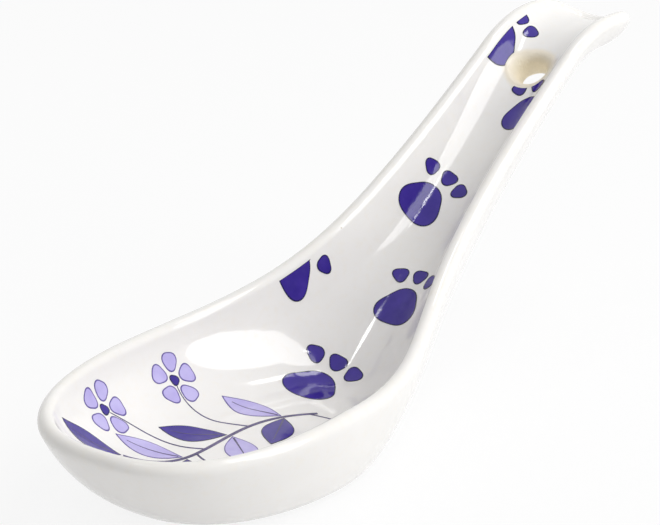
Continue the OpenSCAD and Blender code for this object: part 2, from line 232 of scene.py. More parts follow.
# Sections: upright ones along the keel, and ones that fan round the front and the handle's end
def spineSection(s):
    keel = keelAt(s)
    rise = rimAt(s) - keel
    share = math.exp(-((s / spoon["narrowing"]) ** 2))  # how much of the bowl is left in the section
    handlePulls = np.array(spoon["handlePulls"])
    return {  # out and up are the section's own ways; the rest are sizes along them
        "keel": keel,
        "out": np.array([0, 1, 0]),
        "up": unit(rise),
        "reach": mix(spoon["handleHalfWidth"], spoon["bowlHalfWidth"], share),
        "height": np.linalg.norm(rise),
        "foot": math.hypot(footSide(s - spoon["widestBack"]), spoon["keelFlat"]),
        "thickness": mix(spoon["handleThickness"], spoon["floorThickness"], share),
        "lean": math.radians(mix(spoon["handleLean"], spoon["sideLean"], share)),
        "outerPulls": mix(handlePulls, np.array(spoon["bowlOuterPulls"]), share),
        "innerPulls": mix(handlePulls, np.array(spoon["bowlInnerPulls"]), share),
    }


def frontSection(angle):
    tip = math.sin(angle) ** 2
    section = spineSection(0)
    section["out"] = np.array([-math.sin(angle), math.cos(angle), 0])
    section["up"] = np.array([0, 0, 1])
    section["reach"] = oval(angle, spoon["frontLength"], spoon["bowlHalfWidth"], spoon["frontPower"])
    section["height"] = mix(spoon["rimHeight"], spoon["tipHeight"], tip)
    section["foot"] = math.hypot(footReach(angle), spoon["keelFlat"])
    section["lean"] = math.radians(mix(spoon["sideLean"], spoon["tipLean"], tip))
    return section


def endSection(angle):
    section = spineSection(cornerStart)
    section["keel"] = np.array([cornerStart, 0, 0])
    section["out"] = np.array([math.sin(angle), math.cos(angle), 0])
    section["up"] = np.array([0, 0, 1])
    section["height"] = mix(section["height"], spoon["endHeight"], math.sin(angle) ** 2)
    section["reach"] = oval(angle, spoon["cornerLength"], section["reach"], spoon["endPower"])
    return section


# The end is laid out flat along the keel, then bent with it over the crest
def bent(points):
    return np.array([keelAt(p[0]) + [0, p[1], 0] + p[2] * acrossWay(slopeAt(p[0])) for p in points])


def lipWays(section):
    lean = section["lean"]
    return np.array([math.cos(lean), -math.sin(lean)]), np.array([math.sin(lean), math.cos(lean)])


# One wall of a section, from the keel to the lip: a level stretch, then a curve
def wallLine(section, side, flatSteps, wallSteps):
    outward, upward = lipWays(section)
    middle = np.array([section["reach"], section["height"]])
    if side == "outer":
        flat, base, end = section["foot"], 0.0, middle + spoon["lipRadius"] * outward
    else:
        flat, base = section["foot"] * spoon["floorFlatShare"], section["thickness"]
        end = middle - spoon["lipRadius"] * outward
    pulls = section[side + "Pulls"]
    first = np.array([flat + pulls[0] * (end[0] - flat), base])
    second = end - pulls[1] * (end[1] - base) * upward
    level = [[flat * i / flatSteps, base] for i in range(flatSteps)]
    t = np.linspace(0, 1, wallSteps + 1)[:, None]
    return np.vstack([level, cubic(np.array([flat, base]), first, second, end, t)])


# A wall is measured by p, the length along the keel, and q, the run round from the keel
measureSteps = 140


def measuredLine(side, p, q=0):
    section = frontSection(math.atan2(-p, abs(q))) if p < 0 else spineSection(p)
    line = wallLine(section, side, 1, measureSteps)
    return section, line, np.append(0, np.cumsum(np.linalg.norm(np.diff(line, axis=0), axis=1)))


def runOf(p, q):
    return math.hypot(p, q) if p < 0 else abs(q)


def runLimit(p, q):
    return measuredLine("inner", p, q)[2][-1]


# The point at p and q on a wall, and the way out of the glaze there
def onWall(side, p, q):
    section, line, runs = measuredLine(side, p, q)
    run = min(runOf(p, q), runs[-1])
    step = runs[-1] / measureSteps
    near = [np.array([np.interp(r, runs, line[:, 0]), np.interp(r, runs, line[:, 1])])
            for r in (run, max(run - step, 0), min(run + step, runs[-1]))]
    way = unit(near[2] - near[1])
    flip = np.array([1, -1 if q < 0 else 1, 1])
    turn = 1 if side == "inner" else -1
    point = section["keel"] + near[0][0] * section["out"] + near[0][1] * section["up"]
    normal = turn * (way[0] * section["up"] - way[1] * section["out"])
    return point * flip, normal * flip


# Body: one closed skin, with a patch of rings round the hanging hole, inside and under the handle
body = {
    "frontSteps": 84,
    "footSteps": 34,
    "heelSteps": 14,
    "runSteps": 70,
    "crestSteps": 16,
    "endSteps": 48,
    "flatSteps": 5,
    "wallSteps": 28,
    "lipSteps": 14,
    "holeDiameter": 5.2,
    "holeBack": 20.0,
    "flareRadius": 4.3,
    "flareDepth": 1.9,
    "underRadius": 3.1,
    "underDepth": 0.5,
    "holeShadeReach": 0.7,  # the painted shade in the hole and the painted cream reflection round it fade out this far past the hole's rounded edges
    "footRim": 0.25,  # the glaze is wiped off the foot up to this height
    "patchLength": 6.4,  # from the hole's middle to the patch's edge, along the keel
    "patchWallStep": 19,  # the patch's edge on the walls, counted in wall steps
    "patchRings": 7,
    "edgeRings": 12,
    "boreRings": 6,
    "weldLength": 0.001,
}
holeAt = keelLength - body["holeBack"]
holeRadius = body["holeDiameter"] / 2


def halfSection(section):
    outward, upward = lipWays(section)
    middle = np.array([section["reach"], section["height"]])
    turns = [math.pi * i / body["lipSteps"] for i in range(1, body["lipSteps"])]
    lip = [middle + spoon["lipRadius"] * (math.cos(a) * outward + math.sin(a) * upward) for a in turns]
    outer = wallLine(section, "outer", body["flatSteps"], body["wallSteps"])
    inner = wallLine(section, "inner", body["flatSteps"], body["wallSteps"])
    line = np.vstack([outer, lip, inner[::-1]])
    return section["keel"] + line[:, :1] * section["out"] + line[:, 1:] * section["up"]


def sideStations():
    shift = math.asin(spoon["widestBack"] / spoon["footHalfLength"])
    turns = [mix(-shift, math.pi / 2, i / body["footSteps"]) for i in range(body["footSteps"])]
    foot = [spoon["widestBack"] + spoon["footHalfLength"] * math.sin(turn) for turn in turns]
    heel = [flatLength + heelLength * i / body["heelSteps"] for i in range(body["heelSteps"])]
    run = [straightStart + spoon["handleRun"] * i / body["runSteps"] for i in range(body["runSteps"])]
    crest = [mix(crestStart, cornerStart, i / body["crestSteps"]) for i in range(body["crestSteps"] + 1)]
    return foot + heel + run + crest


def addGrid(mesh, rows, skip=None):
    made = [[mesh.verts.new(p) for p in row] for row in rows]
    for i in range(len(rows) - 1):
        for j in range(len(rows[0]) - 1):
            if skip is None or not skip(i, j):
                mesh.faces.new([made[i][j], made[i + 1][j], made[i + 1][j + 1], made[i][j + 1]])
    return made


# The edge of a patch: stations and points of one half, round from the keel to the keel
def patchHalf(side, first, last):
    rim = body["flatSteps"] + body["patchWallStep"]
    path = [(last, k) for k in range(rim)] + [(i, rim) for i in range(last, first, -1)]
    path += [(first, k) for k in range(rim, -1, -1)]
    return [(i, k if side == "outer" else -1 - k) for i, k in path]


def patchEdge(side, stations, sections, first, last):
    edge = []
    half = patchHalf(side, first, last)
    for sign, path in ((1, half[:-1]), (-1, half[:0:-1])):
        for i, column in path:
            line, runs = measuredLine(side, stations[i])[1:]
            point = sections[i][column] * [1, sign, 1]
            edge.append((stations[i], sign * np.interp(abs(point[1]), line[:, 0], runs), point))
    return edge


# Lengths from the hole are measured along the face, which is longer than the keel over the crest
def faceLength(s, side):
    rise = spoon["handleThickness"] if side == "inner" else 0
    return s + max(s - crestStart, 0) * rise / spoon["crestRadius"]


def keelLengthUnder(length, side):
    rise = spoon["handleThickness"] if side == "inner" else 0
    over = max(length - crestStart, 0)
    return length - over * rise / (spoon["crestRadius"] + rise)


# Rings from the patch's edge in to the flared edge, and over it into the hole
def holeRings(side, edge, angles):
    flare = body["flareRadius"] if side == "inner" else body["underRadius"]
    depth = body["flareDepth"] if side == "inner" else body["underDepth"]
    centre = keelAt(holeAt)
    axis = acrossWay(slopeAt(holeAt))
    rings = [[point for p, q, point in edge]]
    for w in range(1, body["patchRings"] + 1):
        ring = []
        for (p, q, point), angle in zip(edge, angles):
            start = np.array([faceLength(p, side), q])
            around = np.array([math.cos(angle), math.sin(angle)])
            goal = np.array([faceLength(holeAt, side), 0]) + flare * around
            length, run = mix(start, goal, w / body["patchRings"])
            ring.append(onWall(side, keelLengthUnder(length, side), run)[0])
        rings.append(ring)
    for w in range(1, body["edgeRings"] + 1):
        turn = math.pi / 2 * w / body["edgeRings"]
        radius = flare - (flare - holeRadius) * math.sin(turn)
        ring = []
        for angle in angles:
            length = faceLength(holeAt, side) + radius * math.cos(angle)
            point = onWall(side, keelLengthUnder(length, side), radius * math.sin(angle))[0]
            level = (point - centre) @ axis
            outwards = point - centre - level * axis
            outwards = outwards * mix(1, radius / np.linalg.norm(outwards), math.sin(turn))
            level = level + (depth if side == "outer" else -depth) * (1 - math.cos(turn))
            ring.append(centre + level * axis + outwards)
        rings.append(ring)
    return rings


def edgeAngles(edge):
    return np.unwrap([math.atan2(q, p - holeAt) for p, q, point in edge])


def closeRings(mesh, rings):
    made = [[mesh.verts.new(p) for p in ring] for ring in rings]
    for inner, outer in zip(made, made[1:]):
        for k in range(len(inner)):
            n = (k + 1) % len(inner)
            mesh.faces.new([inner[k], inner[n], outer[n], outer[k]])


def markLip(rows, layer):
    wall = body["flatSteps"] + body["wallSteps"]
    for row in rows:
        for i in range(1, body["lipSteps"]):
            row[wall + i][layer] = math.sin(math.pi * i / body["lipSteps"])


def halfTurn(steps):
    return [math.pi * i / steps for i in range(steps + 1)]


def makeBody():
    mesh = bmesh.new()
    lip = mesh.verts.layers.float.new("lip")
    # this mark carries the sole's real bare clay and the painted shade and painted reflection of the
    # hanging hole
    bareAndHoleShade = mesh.verts.layers.float.new("bareAndHoleShade")
    stations = sideStations()
    side = [halfSection(spineSection(s)) for s in stations]
    otherSide = [row * [1, -1, 1] for row in side]
    front = [halfSection(frontSection(angle)) for angle in halfTurn(body["frontSteps"])]
    end = [bent(halfSection(endSection(angle))) for angle in halfTurn(body["endSteps"])]
    first = min(i for i, s in enumerate(stations) if s > holeAt - body["patchLength"])
    last = max(i for i, s in enumerate(stations) if s < holeAt + body["patchLength"])
    rim = body["flatSteps"] + body["patchWallStep"]
    columns = len(side[0]) - 1

    def inPatch(i, j):
        return first <= i < last and (j < rim or j >= columns - rim)

    for rows, skip in ((side, inPatch), (otherSide, inPatch), (front, None), (end, None)):
        markLip(addGrid(mesh, rows, skip), lip)
    innerEdge = patchEdge("inner", stations, side, first, last)
    outerEdge = patchEdge("outer", stations, side, first, last)
    angles = (edgeAngles(innerEdge) + edgeAngles(outerEdge)) / 2
    upper = holeRings("inner", innerEdge, angles)
    lower = holeRings("outer", outerEdge, angles)
    shares = [i / body["boreRings"] for i in range(1, body["boreRings"])]
    bore = [[mix(a, b, share) for a, b in zip(upper[-1], lower[-1])] for share in shares]
    closeRings(mesh, upper + bore + lower[::-1])
    bmesh.ops.remove_doubles(mesh, verts=mesh.verts, dist=body["weldLength"])
    bmesh.ops.delete(mesh, geom=[v for v in mesh.verts if not v.link_faces], context="VERTS")
    bmesh.ops.recalc_face_normals(mesh, faces=mesh.faces)
    markBareAndHoleShade(mesh, bareAndHoleShade)
    openEdges = sum(1 for e in mesh.edges if len(e.link_faces) != 2)
    print("body:", len(mesh.verts), "points,", openEdges, "open edges")
    finishPiece(mesh, "spoonBody", glazeMaterial(), ["porcelain_body"])


# How strong the bare mark is: the sole's real bare clay where the glaze is wiped off, and the painted
# shade in the hanging hole with a painted reflection round it; full in the hole and on the sole, fading
# out round the hole's edges
def markBareAndHoleShade(mesh, layer):
    centre = keelAt(holeAt)
    axis = acrossWay(slopeAt(holeAt))
    for vert in mesh.verts:
        away = np.array(vert.co) - centre
        level = away @ axis
        reach = np.linalg.norm(away - level * axis)
        flare = body["flareRadius"] if level > 2 * body["underDepth"] else body["underRadius"]
        limit = flare + body["holeShadeReach"]
        # in and round the hole the mark paints shade and a reflection; on the sole it is real bare clay
        if reach < limit and abs(level) < 2 * spoon["handleThickness"]:
            vert[layer] = min((limit - reach) / (limit - holeRadius), 1)
        elif vert.co.z < body["footRim"]:
            vert[layer] = 1 - vert.co.z / body["footRim"]


# From millimetres to a finished piece in metres, which stands for its nodes
def finishPiece(mesh, name, material, nodes, sharpAngle=None):
    bmesh.ops.scale(mesh, vec=(mm, mm, mm), verts=mesh.verts)
    data = bpy.data.meshes.new(name)
    mesh.to_mesh(data)
    mesh.free()
    data.polygons.foreach_set("use_smooth", [True] * len(data.polygons))
    if sharpAngle:
        data.set_sharp_from_angle(angle=math.radians(sharpAngle))
    data.materials.append(material)
    piece = addObject(name, data)
    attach(piece, "root")
    if nodes:
        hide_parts(*nodes)


# Materials: shared steps
def newMaterial(name):
    material = bpy.data.materials.new(name)
    material.use_nodes = True
    tree = material.node_tree
    return material, tree, tree.nodes["Principled BSDF"]


def textureNode(tree, kind, scale):
    node = tree.nodes.new(kind)
    node.inputs["Scale"].default_value = scale
    tree.links.new(tree.nodes.new("ShaderNodeTexCoord").outputs["Object"], node.inputs["Vector"])
    return node


def noiseNode(tree, scale, detail=2):
    noise = textureNode(tree, "ShaderNodeTexNoise", scale)
    noise.inputs["Detail"].default_value = detail
    return noise.outputs["Fac"]


def spread(tree, value, low, high, toLow=0.0, toHigh=1.0):
    node = tree.nodes.new("ShaderNodeMapRange")
    for name, number in (("From Min", low), ("From Max", high), ("To Min", toLow), ("To Max", toHigh)):
        node.inputs[name].default_value = number
    tree.links.new(value, node.inputs["Value"])
    return node.outputs["Result"]


def blendColour(tree, share, first, second):
    node = tree.nodes.new("ShaderNodeMix")
    node.data_type = "RGBA"
    tree.links.new(share, node.inputs["Factor"])
    for colour, socket in ((first, node.inputs[6]), (second, node.inputs[7])):  # its colour sockets
        if isinstance(colour, tuple):
            socket.default_value = colour + (1.0,)
        else:
            tree.links.new(colour, socket)
    return node.outputs[2]


def joined(tree, operation, first, second):
    node = tree.nodes.new("ShaderNodeMath")
    node.operation = operation
    for value, socket in ((first, node.inputs[0]), (second, node.inputs[1])):
        if isinstance(value, (int, float)):
            socket.default_value = value
        else:
            tree.links.new(value, socket)
    return node.outputs[0]


def attributeNode(tree, name):
    node = tree.nodes.new("ShaderNodeAttribute")
    node.attribute_name = name
    return node.outputs["Fac"]


# A mesh's own mark, with its borders made ragged by a noise
def raggedMark(tree, name, scale, amount, detail=2):
    shift = spread(tree, noiseNode(tree, scale, detail), 0, 1, -amount, amount)
    return joined(tree, "ADD", attributeNode(tree, name), shift)


def bumpNode(tree, height, distance, strength, below=None):
    node = tree.nodes.new("ShaderNodeBump")
    node.inputs["Distance"].default_value = distance
    node.inputs["Strength"].default_value = strength
    tree.links.new(height, node.inputs["Height"])
    if below:
        tree.links.new(below, node.inputs["Normal"])
    return node.outputs["Normal"]


# White glaze, with bare clay on the foot, painted tan shade inside the hanging hole and a painted cream
# reflection round its edge
# Scales are those of the noises, and an edge is where a noise or a mark begins and ends its change
glaze = {
    "white": (0.91, 0.895, 0.875),
    "shade": (0.88, 0.865, 0.845),
    "lip": (0.90, 0.88, 0.835),
    # cream is a painted reflection round the hanging hole; clay is the bare foot's own colour and
    # painted shade inside the hole
    "holeRimReflection": (0.87, 0.80, 0.67),
    "clayAndHoleShade": (0.90, 0.82, 0.65),
    "speck": (0.66, 0.60, 0.52),
    "gloss": 0.06,
    "glossShares": (0.7, 1.3),
    "index": 1.5,
    "clayRoughness": 0.8,
    "toneScale": 70,
    "toneEdge": (0.35, 0.65),
    "lipScale": 180,
    "lipEdge": (0.3, 0.7),
    "speckScale": 140,
    "speckEdge": (0.03, 0.02),
    "rareScale": 90,  # specks show only where this noise is high
    "rareEdge": (0.6, 0.62),
    "raggedScale": 900,
    "ragged": 0.12,
    "holeRimReflectionEdge": (0.0, 0.35),  # round the hole the colour turns first to the painted cream reflection, then to the painted tan shade, and matt
    "bareAndHoleShadeEdge": (0.3, 0.95),
    "polishScale": 240,
    "polishEdge": (0.3, 0.7),
    "waveScale": 130,
    "wave": (0.0003, 0.05),  # depth in metres, and strength
    "grainScale": 2600,
    "grain": (0.0003, 0.6),
    "fineDetail": 3,
    "grainDetail": 4,
}


def glazeMaterial():
    material, tree, shader = newMaterial("whiteGlaze")
    tone = spread(tree, noiseNode(tree, glaze["toneScale"]), *glaze["toneEdge"])
    colour = blendColour(tree, tone, glaze["white"], glaze["shade"])

    patchy = spread(tree, noiseNode(tree, glaze["lipScale"], glaze["fineDetail"]), *glaze["lipEdge"])
    thin = joined(tree, "MULTIPLY", attributeNode(tree, "lip"), patchy)
    colour = blendColour(tree, thin, colour, glaze["lip"])

    cells = textureNode(tree, "ShaderNodeTexVoronoi", glaze["speckScale"])
    dots = spread(tree, cells.outputs["Distance"], *glaze["speckEdge"])
    rare = spread(tree, noiseNode(tree, glaze["rareScale"]), *glaze["rareEdge"])
    colour = blendColour(tree, joined(tree, "MULTIPLY", dots, rare), colour, glaze["speck"])

    # the foot's real bare clay, and painted shade inside the hanging hole with a painted cream
    # reflection round its edge
    raggedBareAndHoleShade = raggedMark(tree, "bareAndHoleShade", glaze["raggedScale"], glaze["ragged"], glaze["fineDetail"])
    bareAndHoleShade = spread(tree, raggedBareAndHoleShade, *glaze["bareAndHoleShadeEdge"])
    colour = blendColour(tree, spread(tree, raggedBareAndHoleShade, *glaze["holeRimReflectionEdge"]), colour, glaze["holeRimReflection"])
    colour = blendColour(tree, bareAndHoleShade, colour, glaze["clayAndHoleShade"])
    tree.links.new(colour, shader.inputs["Base Color"])

    low, high = [glaze["gloss"] * share for share in glaze["glossShares"]]
    polish = spread(tree, noiseNode(tree, glaze["polishScale"]), *glaze["polishEdge"], low, high)
    rough = spread(tree, bareAndHoleShade, 0, 1, 0, glaze["clayRoughness"])
    tree.links.new(joined(tree, "ADD", polish, rough), shader.inputs["Roughness"])

    wave = bumpNode(tree, noiseNode(tree, glaze["waveScale"]), *glaze["wave"])
    grain = joined(tree, "MULTIPLY", noiseNode(tree, glaze["grainScale"], glaze["grainDetail"]), bareAndHoleShade)
    tree.links.new(bumpNode(tree, grain, *glaze["grain"], wave), shader.inputs["Normal"])
    shader.inputs["IOR"].default_value = glaze["index"]
    return material


makeBody()
print("body made")

# Prints: thin films laid on the glaze
film = {
    "lift": 0.06,  # the upper face, over the glaze
    "sunk": 0.03,  # the lower face, under it
    "outlineWidth": 0.3,
    "outlineMostShare": 0.4,  # of a small spot's mean radius
    "ringWidth": 0.6,
    "fewestRings": 2,
    "lipGap": 0.2,
    "holeGap": 0.2,
    "hubInShare": 0.33,  # a spot that the lip cuts has its hub this share of its radius inside
    "lipOutShare": 0.25,  # a spot further out than this is left out
    "holeOffShare": 0.12,  # a spot whose hub is no further than this from the flared edge is left out
    "corners": 3,
    "sharpAngle": 50,
}
keelGirth = runLimit(0, 1)


def place(shares):
    return np.array([shares[0] * keelLength, shares[1] * keelGirth])


def turned(x, y, angle):
    c, s = math.cos(math.radians(angle)), math.sin(math.radians(angle))
    return np.array([x * c - y * s, x * s + y * c])


# A place drawn in towards the keel by a share
def drawnIn(point, share):
    return np.array([point[0] * (share if point[0] < 0 else 1), point[1] * share])


# A print's point kept off the hole's flared edge and short of the lip
def kept(point):
    hole = np.array([holeAt, 0])
    away = point - hole
    clear = body["flareRadius"] + film["holeGap"]
    point = hole + away * max(clear / max(np.linalg.norm(away), tiny), 1)
    return drawnIn(point, min((runLimit(*point) - film["lipGap"]) / max(runOf(*point), tiny), 1))


# The point that a spot is filled from: its centre, or short of the lip where that cuts the spot
def hubOf(centre, radius):
    over = max(runOf(*centre) - runLimit(*centre) + film["lipGap"] + radius * film["hubInShare"], 0)
    return drawnIn(centre, 1 - over / max(runOf(*centre), tiny))


# A closed film: rings of points from the hub to the outline, over the glaze and just under it
def addFilm(mesh, outline, centre, layer):
    edge = [kept(point) for point in outline]
    size = np.mean([np.linalg.norm(point - centre) for point in edge])
    rings = max(int(size / film["ringWidth"]), film["fewestRings"])
    inside = 1 - min(film["outlineWidth"] / size, film["outlineMostShare"])
    shares = [inside * (i + 1) / rings for i in range(rings)] + [1]

    def lay(point):
        spot, normal = onWall("inner", *point)
        return mesh.verts.new(spot + normal * film["lift"]), mesh.verts.new(spot - normal * film["sunk"])

    middle = lay(centre)
    loops = [[lay(mix(centre, point, share)) for point in edge] for share in shares]
    for upper, lower in loops[-1]:
        upper[layer] = 1
        lower[layer] = 1
    count = len(edge)
    for k in range(count):
        n = (k + 1) % count
        mesh.faces.new([middle[0], loops[0][k][0], loops[0][n][0]])
        mesh.faces.new([middle[1], loops[0][n][1], loops[0][k][1]])
        for inner, outer in zip(loops, loops[1:]):
            mesh.faces.new([inner[k][0], outer[k][0], outer[n][0], inner[n][0]])
            mesh.faces.new([inner[k][1], inner[n][1], outer[n][1], outer[k][1]])
        mesh.faces.new([loops[-1][k][0], loops[-1][k][1], loops[-1][n][1], loops[-1][n][0]])


# A round spot drawn out to blunt corners
def spotOutline(centre, radius, angle, corner, count):
    outline = []
    for i in range(count):
        a = 2 * math.pi * i / count
        reach = radius * (1 + corner * math.cos(film["corners"] * a))
        outline.append(centre + turned(reach * math.cos(a), reach * math.sin(a), angle))
    return outline


def addSpot(mesh, centre, radius, angle, layer, corner, count):
    hub = hubOf(centre, radius)
    clear = body["flareRadius"] + film["holeGap"] + radius * film["holeOffShare"]
    offHole = np.linalg.norm(hub - [holeAt, 0]) >= clear
    if offHole and runOf(*centre) < runLimit(*centre) + radius * film["lipOutShare"]:
        addFilm(mesh, spotOutline(centre, radius, angle, corner, count), hub, layer)


# Coloured glaze of a print: a darker outline, a faint mottle and a surface that is a little uneven
printGlaze = {
    "index": 1.45,
    "glossShares": (0.6, 1.4),
    "mottleScale": 320,
    "mottleDetail": 4,
    "mottleEdge": (0.35, 0.65),
    "raggedScale": 700,
    "ragged": 0.25,
    "outlineEdge": (0.1, 0.6),
    "polishScale": 500,
    "polishEdge": (0.3, 0.7),
    "unevenScale": 900,
    "uneven": (0.0002, 0.1),  # depth in metres, and strength
    "fineDetail": 3,
}


def printMaterial(name, look):
    material, tree, shader = newMaterial(name)
    noise = noiseNode(tree, printGlaze["mottleScale"], printGlaze["mottleDetail"])
    mottle = spread(tree, noise, *printGlaze["mottleEdge"])
    colour = blendColour(tree, mottle, look["colour"], look["mottle"])
    edge = raggedMark(tree, "edge", printGlaze["raggedScale"], printGlaze["ragged"])
    colour = blendColour(tree, spread(tree, edge, *printGlaze["outlineEdge"]), colour, look["outline"])
    tree.links.new(colour, shader.inputs["Base Color"])

    low, high = [look["gloss"] * share for share in printGlaze["glossShares"]]
    noise = noiseNode(tree, printGlaze["polishScale"], printGlaze["fineDetail"])
    polish = spread(tree, noise, *printGlaze["polishEdge"], low, high)
    tree.links.new(polish, shader.inputs["Roughness"])
    uneven = noiseNode(tree, printGlaze["unevenScale"], printGlaze["fineDetail"])
    tree.links.new(bumpNode(tree, uneven, *printGlaze["uneven"]), shader.inputs["Normal"])
    shader.inputs["IOR"].default_value = printGlaze["index"]
    return material


deepBlue = {
    "colour": (0.026, 0.008, 0.25),
    "mottle": (0.04, 0.016, 0.30),
    "outline": (0.006, 0.003, 0.06),
    "gloss": 0.08,
}
paleViolet = {
    "colour": (0.47, 0.41, 0.78),
    "mottle": (0.55, 0.50, 0.84),
    "outline": (0.09, 0.06, 0.3),
    "gloss": 0.08,
}
lineInk = {
    "colour": (0.05, 0.035, 0.13),
    "mottle": (0.09, 0.065, 0.20),
    "outline": (0.04, 0.03, 0.1),
    "gloss": 0.1,
}
printMaterials = {
    "deep_blue_print": printMaterial("deepBluePrint", deepBlue),
    "pale_violet_print": printMaterial("paleVioletPrint", paleViolet),
    "line_print": printMaterial("linePrint", lineInk),
}


def finishPrint(mesh, name, slot, nodes):
    finishPiece(mesh, name, printMaterials[slot], nodes, film["sharpAngle"])


# Paw prints: shares of the keel's length and of the widest section's inner girth
paws = {
    "places": [
        (0.213, 0.167), (0.332, 0.746), (0.392, -0.037),
        (0.558, 0.204), (0.744, -0.155), (0.84, 0.306),
    ],
    "sizes": [1, 0.97, 0.89, 0.9, 0.85, 0.82],
    "turns": [0, -4, -4, -15, 6, -1],
    "padRadius": 4.3,
    "padCorner": 0.1,
    "padPoints": 72,
    "toeRadius": 1.6,
    "toeCorner": 0.1,
    "toeReach": 7.7,
    "toeBearings": [27, -3, -31],
    "toeTurns": [90, 180, -90],
    "toePoints": 40,
}


def makePaw(number, shares, size, turn):
    mesh = bmesh.new()
    layer = mesh.verts.layers.float.new("edge")
    centre = place(shares)
    addSpot(mesh, centre, paws["padRadius"] * size, turn, layer, paws["padCorner"], paws["padPoints"])
    radius = paws["toeRadius"] * size
    for bearing, own in zip(paws["toeBearings"], paws["toeTurns"]):
        toe = centre + turned(paws["toeReach"] * size, 0, turn + bearing)
        addSpot(mesh, toe, radius, turn + own, layer, paws["toeCorner"], paws["toePoints"])
    node = f"paw_print_{number}"
    finishPrint(mesh, f"pawPrint{number}", "deep_blue_print", [node])


for number, (shares, size, turn) in enumerate(zip(paws["places"], paws["sizes"], paws["turns"]), 1):
    makePaw(number, shares, size, turn)
print("paw prints made")

# Sprig in the bowl: a stem, leaves of two colours in pairs, and small blossoms
sprig = {
    "stem": [(0.144, -0.1), (0.042, 0.37), (-0.068, -0.12), (-0.152, 0.33)],
    "leafPlaces": [0.12, 0.42, 0.72],
    "leafSpread": 52,
    "leafLength": 10.5,
    "leafWidth": 5.0,
    "leafPoints": 28,
    "leafOffShares": (0.5, 1),  # stem widths to a leaf's base, at the stem's end and beside it
    "stemWidth": 0.6,
    "stemSteps": 60,
    "blossoms": [(0.042, 0.72), (-0.11, 0.7), (-0.034, -0.57), (0.11, -0.55)],
    "petals": 5,
    "blossomRadius": 3.1,
    "petalRadius": 1.6,
    "petalCorner": 0.1,
    "petalPoints": 36,
    "eyeRadius": 0.95,
    "stalks": [  # where each leaves the stem, at what angle, and from where it comes to its blossom
        (0.3, -60, 252), (0.6, -60, 324), (0.66, 60, 108), (0.03, 140, 36),
    ],
    "stalkWidth": 0.34,
    "stalkEnd": 1.05,
    "stalkBendShare": 0.4,
    "stalkSteps": 24,
    "stalkLift": -0.01,  # over the films' own lift, so that the stem lies on the stalks
    "veinWidth": 0.32,
    "veinShares": (0.06, 0.82),
    "veinSteps": 16,
    "veinLift": 0.02,
    "taperShare": 0.6,
}


def stemAt(t):
    return cubic(*[place(shares) for shares in sprig["stem"]], t)


def stemWay(t):
    step = sprig["leafPlaces"][0] / 2  # half of the first leaf's place is short enough to give the way
    way = stemAt(min(t + step, 1)) - stemAt(max(t - step, 0))
    return math.degrees(math.atan2(way[1], way[0]))


def leafBase(t, bearing):
    angle = stemWay(t) + bearing
    off = sprig["stemWidth"] * sprig["leafOffShares"][0 if bearing == 0 else 1]
    return stemAt(t) + turned(off, 0, angle), angle


def addLeaf(mesh, t, bearing, layer):
    base, angle = leafBase(t, bearing)
    count, length, half = sprig["leafPoints"], sprig["leafLength"], sprig["leafWidth"] / 2
    shares = [i / count for i in range(count)]
    bulge = [half * math.sin(math.pi * share) for share in shares]
    under = [base + turned(length * a, -b, angle) for a, b in zip(shares, bulge)]
    over = [base + turned(length * (1 - a), b, angle) for a, b in zip(shares, bulge)]
    addFilm(mesh, under + over, base + turned(length / 2, 0, angle), layer)


# Leaves of one colour, on alternate sides; those that start on the first side take the stem's end too
def makeLeaves(name, node, slot, first):
    mesh = bmesh.new()
    layer = mesh.verts.layers.float.new("edge")
    for i, t in enumerate(sprig["leafPlaces"]):
        addLeaf(mesh, t, sprig["leafSpread"] * (1 if i % 2 == first else -1), layer)
    if first == 0:
        addLeaf(mesh, 1, 0, layer)
    finishPrint(mesh, name, slot, [node])


# A line on the glaze, five points round at each step
def addRibbon(mesh, path, widths, lift):
    corners = ((1, -film["sunk"]), (1, lift), (0, lift), (-1, lift), (-1, -film["sunk"]))
    rows = []
    for i, point in enumerate(path):
        way = unit(path[min(i + 1, len(path) - 1)] - path[max(i - 1, 0)])
        aside = np.array([-way[1], way[0]]) * widths[i] / 2
        row = []
        for side, height in corners:
            spot, normal = onWall("inner", *(point + aside * side))
            row.append(mesh.verts.new(spot + normal * height))
        rows.append(row)
    for a, b in zip(rows, rows[1:]):
        for k in range(len(a)):
            n = (k + 1) % len(a)
            mesh.faces.new([a[k], a[n], b[n], b[k]])
    mesh.faces.new(rows[0][::-1])
    mesh.faces.new(rows[-1])


def finishLines(mesh, name, nodes):
    bmesh.ops.recalc_face_normals(mesh, faces=mesh.faces)
    finishPrint(mesh, name, "line_print", nodes)


def makeStem():
    mesh = bmesh.new()
    mesh.verts.layers.float.new("edge")
    steps = sprig["stemSteps"]
    path = [stemAt(i / steps) for i in range(steps + 1)]
    addRibbon(mesh, path, [sprig["stemWidth"]] * len(path), film["lift"])
    finishLines(mesh, "sprigStem", ["sprig_stem"])


def tapered(width, count):
    return [width * (1 - sprig["taperShare"] * i / (count - 1)) for i in range(count)]


def addStalk(mesh, t, bearing, wayIn, centre):
    start = stemAt(t)
    bend = np.linalg.norm(centre - start) * sprig["stalkBendShare"]
    leaving = start + turned(bend, 0, stemWay(t) + bearing)
    coming = centre + turned(bend, 0, wayIn)
    end = centre + turned(sprig["stalkEnd"], 0, wayIn)
    steps = sprig["stalkSteps"]
    path = [cubic(start, leaving, coming, end, i / steps) for i in range(steps + 1)]
    addRibbon(mesh, path, tapered(sprig["stalkWidth"], len(path)), film["lift"] + sprig["stalkLift"])


